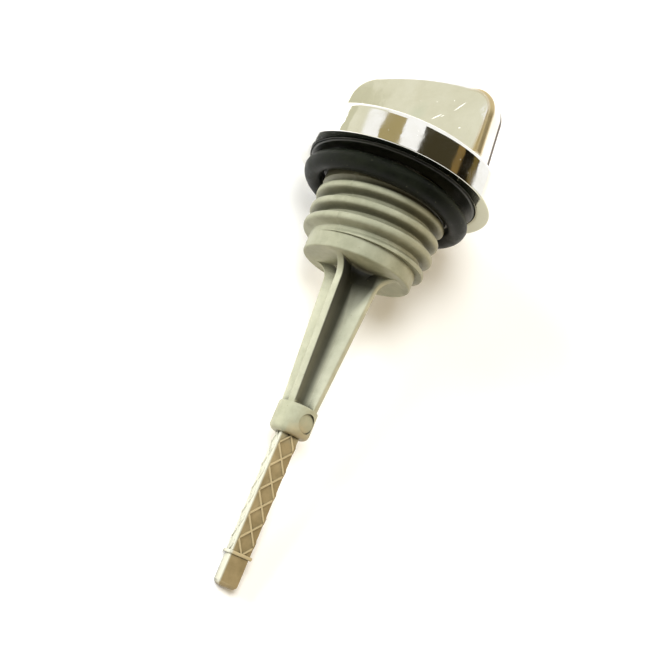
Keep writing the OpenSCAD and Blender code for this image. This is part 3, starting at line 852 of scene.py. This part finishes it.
worn = add_node(chrome, "Math", {0: rubbed.outputs[0], 1: in_front.outputs[0]}, operation="MULTIPLY")
tanned = add_node(chrome, "Mix", {0: worn.outputs[0], 6: filmed.outputs[2], 7: linear("#d2bf92")},
                  data_type="RGBA")

# Painted reflection of the floor's shadow darkens one side of the rim
upright = add_node(chrome, "SeparateXYZ", {"Vector": place})
on_rim = add_node(chrome, "MapRange", {"Value": upright.outputs["Z"], "From Min": -0.3, "From Max": -0.1})
far_side = add_node(chrome, "MapRange", {"Value": upright.outputs["Y"], "From Min": 2.0, "From Max": 10.0,
                                         "To Max": 0.9})
shadow_reflected = add_node(chrome, "Math", {0: on_rim.outputs[0], 1: far_side.outputs[0]}, operation="MULTIPLY")
rimmed = add_node(chrome, "Mix", {0: shadow_reflected.outputs[0], 6: tanned.outputs[2], 7: linear("#bdbca2")},
                  data_type="RGBA")
tinted = add_node(chrome, "Mix", {0: marks, 6: rimmed.outputs[2], 7: linear("#e9e8da")}, data_type="RGBA")

# Along the back edge of the same end the plate is drawn as a thin dark unplated line
back_edge = add_node(chrome, "Math", {0: sides.outputs["Z"], 1: 0.024, 2: sides.outputs["Y"]},
                     operation="MULTIPLY_ADD")
back_edge = add_node(chrome, "Math", {0: back_edge.outputs[0], 1: -1.7, 2: 0.4}, operation="COMPARE")
dark_back_line = add_node(chrome, "Math", {0: back_edge.outputs[0], 1: rubbed.outputs[0]}, operation="MULTIPLY")
tinted = add_node(chrome, "Mix", {0: dark_back_line.outputs[0], 6: tinted.outputs[2], 7: linear("#3a2418")},
                  data_type="RGBA")
unplated = add_node(chrome, "Math", {0: marks, 1: dark_back_line.outputs[0]}, operation="MAXIMUM")
metal = add_node(chrome, "Math", {0: 1.0, 1: unplated.outputs[0]}, operation="SUBTRACT")
rough = add_node(chrome, "Math", {0: worn.outputs[0], 1: 0.3, 2: haze.outputs[0]}, operation="MULTIPLY_ADD")
rough = add_node(chrome, "Math", {0: marks, 1: 0.4, 2: rough.outputs[0]}, operation="MULTIPLY_ADD")
skin = add_node(chrome, "BsdfPrincipled", {
    "Base Color": tinted.outputs[2], "Metallic": metal.outputs[0], "Roughness": rough.outputs[0],
    "Normal": bump.outputs["Normal"]})
add_node(chrome, "OutputMaterial", {"Surface": skin.outputs["BSDF"]})
dress(cover, chrome, "chrome_cover")

# Stage. A pale sheet of card to lie on, which is white where the camera or a mirror sees it but
# keeps its shadows, soft light from the left, and a camera that looks down on the part.
def when_seen(material):
    """The share that is 1 for what the camera, a mirror or glass sees, and 0 for the light it gives."""
    path = add_node(material, "LightPath")
    seen = add_node(material, "Math", {0: path.outputs["Is Camera Ray"], 1: path.outputs["Is Glossy Ray"]},
                    operation="MAXIMUM")
    return add_node(material, "Math", {0: seen.outputs[0], 1: path.outputs["Is Transmission Ray"]},
                    operation="MAXIMUM").outputs[0]


stage_centre = Vector((-4, 0, 8)) * mm
bpy.ops.object.select_all(action="DESELECT")
bpy.ops.mesh.primitive_plane_add(size=1.3, location=(0, 0, 0))
floor = bpy.context.object
floor.name = "floor"
card = new_material("white card")
paper = add_node(card, "BsdfDiffuse", {"Color": linear("#f2ecd8")})
bleached = add_node(card, "BsdfDiffuse", {"Color": linear("#fffefa")})
glow = add_node(card, "Emission", {"Color": linear("#fffefa"), "Strength": 1.0})
mirrored = add_node(card, "MixShader", {0: 0.3, 1: bleached.outputs["BSDF"], 2: glow.outputs["Emission"]})
direct = add_node(card, "MixShader", {0: 0.12, 1: bleached.outputs["BSDF"], 2: glow.outputs["Emission"]})
on_camera = add_node(card, "LightPath").outputs["Is Camera Ray"]
lit = add_node(card, "MixShader", {0: on_camera, 1: mirrored.outputs["Shader"], 2: direct.outputs["Shader"]})
both = add_node(card, "MixShader", {0: when_seen(card), 1: paper.outputs["BSDF"], 2: lit.outputs["Shader"]})
add_node(card, "OutputMaterial", {"Surface": both.outputs["Shader"]})
floor.data.materials.append(card)

world = bpy.data.worlds.new("studio")
bpy.context.scene.world = world
world.use_nodes = True
world.node_tree.nodes.clear()
bright = add_node(world, "Background", {"Color": linear("#fdfcf8"), "Strength": 1.0})
dim = add_node(world, "Background", {"Color": linear("#ffe9bd"), "Strength": 0.17})
mixed = add_node(world, "MixShader", {0: when_seen(world), 1: dim.outputs[0], 2: bright.outputs[0]})
add_node(world, "OutputWorld", {"Surface": mixed.outputs["Shader"]})


def around_stick(azimuth, distance, along=0):
    """A place round the stick: azimuth 15 is straight up, and lower angles are to the camera's left."""
    a = math.radians(195 - azimuth)
    sideways = Matrix.Rotation(lie, 3, "Y") @ Vector((math.cos(a), math.sin(a), 0))
    return stage_centre + distance * sideways + Vector((along, 0, 0))


def soft_light(name, azimuth, distance, along, width, length, power, colour):
    bpy.ops.object.light_add(type="AREA", location=around_stick(azimuth, distance, along))
    lamp = bpy.context.object
    lamp.name = name
    lamp.data.shape = "RECTANGLE"
    lamp.data.size = length
    lamp.data.size_y = width
    lamp.data.energy = power
    lamp.data.color = linear(colour)[:3]
    lamp.visible_glossy = False
    toward = (stage_centre - lamp.location).normalized()
    lengthwise = (Vector((1, 0, 0)) - toward * toward.x).normalized()
    across = (-toward).cross(lengthwise)
    lamp.matrix_world = Matrix.Translation(lamp.location) @ Matrix(
        (lengthwise, across, -toward)).transposed().to_4x4()


soft_light("window", -47, 0.9, -0.25, 0.4, 0.5, 9.4, "#f8fbff")
soft_light("ceiling", 0, 0.9, -0.27, 0.35, 0.45, 7.0, "#f8fbff")
soft_light("far wall", 84, 0.9, -0.1, 0.4, 0.6, 5.0, "#ffe6b8")


def studio_card(name, first, last, near, far, distance, colour):
    """A curved card round the stick that only shows in reflections, from one azimuth to another."""
    bpy.ops.object.select_all(action="DESELECT")
    steps = max(4, round(abs(last - first) / 6))
    bpy.ops.mesh.primitive_grid_add(x_subdivisions=1, y_subdivisions=steps, size=1)
    screen = start_piece(name)
    mesh = bmesh.from_edit_mesh(screen.data)
    for vertex in mesh.verts:
        azimuth = first + (last - first) * (vertex.co.y + 0.5)
        vertex.co = around_stick(azimuth, distance, near + (far - near) * (vertex.co.x + 0.5))
    bmesh.update_edit_mesh(screen.data)
    bpy.ops.object.mode_set(mode="OBJECT")
    material = new_material(name)
    glow = add_node(material, "Emission", {"Color": linear(colour), "Strength": 1.0})
    add_node(material, "OutputMaterial", {"Surface": glow.outputs["Emission"]})
    screen.data.materials.append(material)
    screen.visible_camera = False
    screen.visible_diffuse = False
    screen.visible_shadow = False
    screen.visible_transmission = False
    screen.visible_volume_scatter = False


studio_card("left wall", -103, -31, -0.6, 0.6, 0.46, "#dfdcc2")
studio_card("left low", -103, -66, -0.3, -0.02, 0.45, "#c9c6a6")
studio_card("room", -31, 81, -0.3, 0.6, 0.46, "#3d3725")
studio_card("left window", -49, -31, -0.3, -0.02, 0.44, "#fdfcf8")
studio_card("door", -31, -9, -0.3, -0.02, 0.44, "#a59668")
studio_card("lamp", -9, 11, -0.3, -0.02, 0.44, "#fdfcf8")
studio_card("shelf", 49, 58, -0.3, -0.02, 0.44, "#7c653a")
studio_card("corner", 58, 72, -0.3, -0.02, 0.44, "#14110a")
studio_card("shelf edge", 72, 80, -0.3, -0.02, 0.44, "#6a5a30")

bpy.ops.object.camera_add(location=Vector((75.798, -44.449, 159.438)) * mm,
                          rotation=[math.radians(a) for a in (19.1622, -23.4006, 108.9953)])
camera = bpy.context.object
camera.data.lens = 66.977
camera.data.sensor_width = 36
camera.data.clip_start = 0.01
bpy.context.scene.camera = camera
bpy.context.scene.view_settings.view_transform = "Standard"
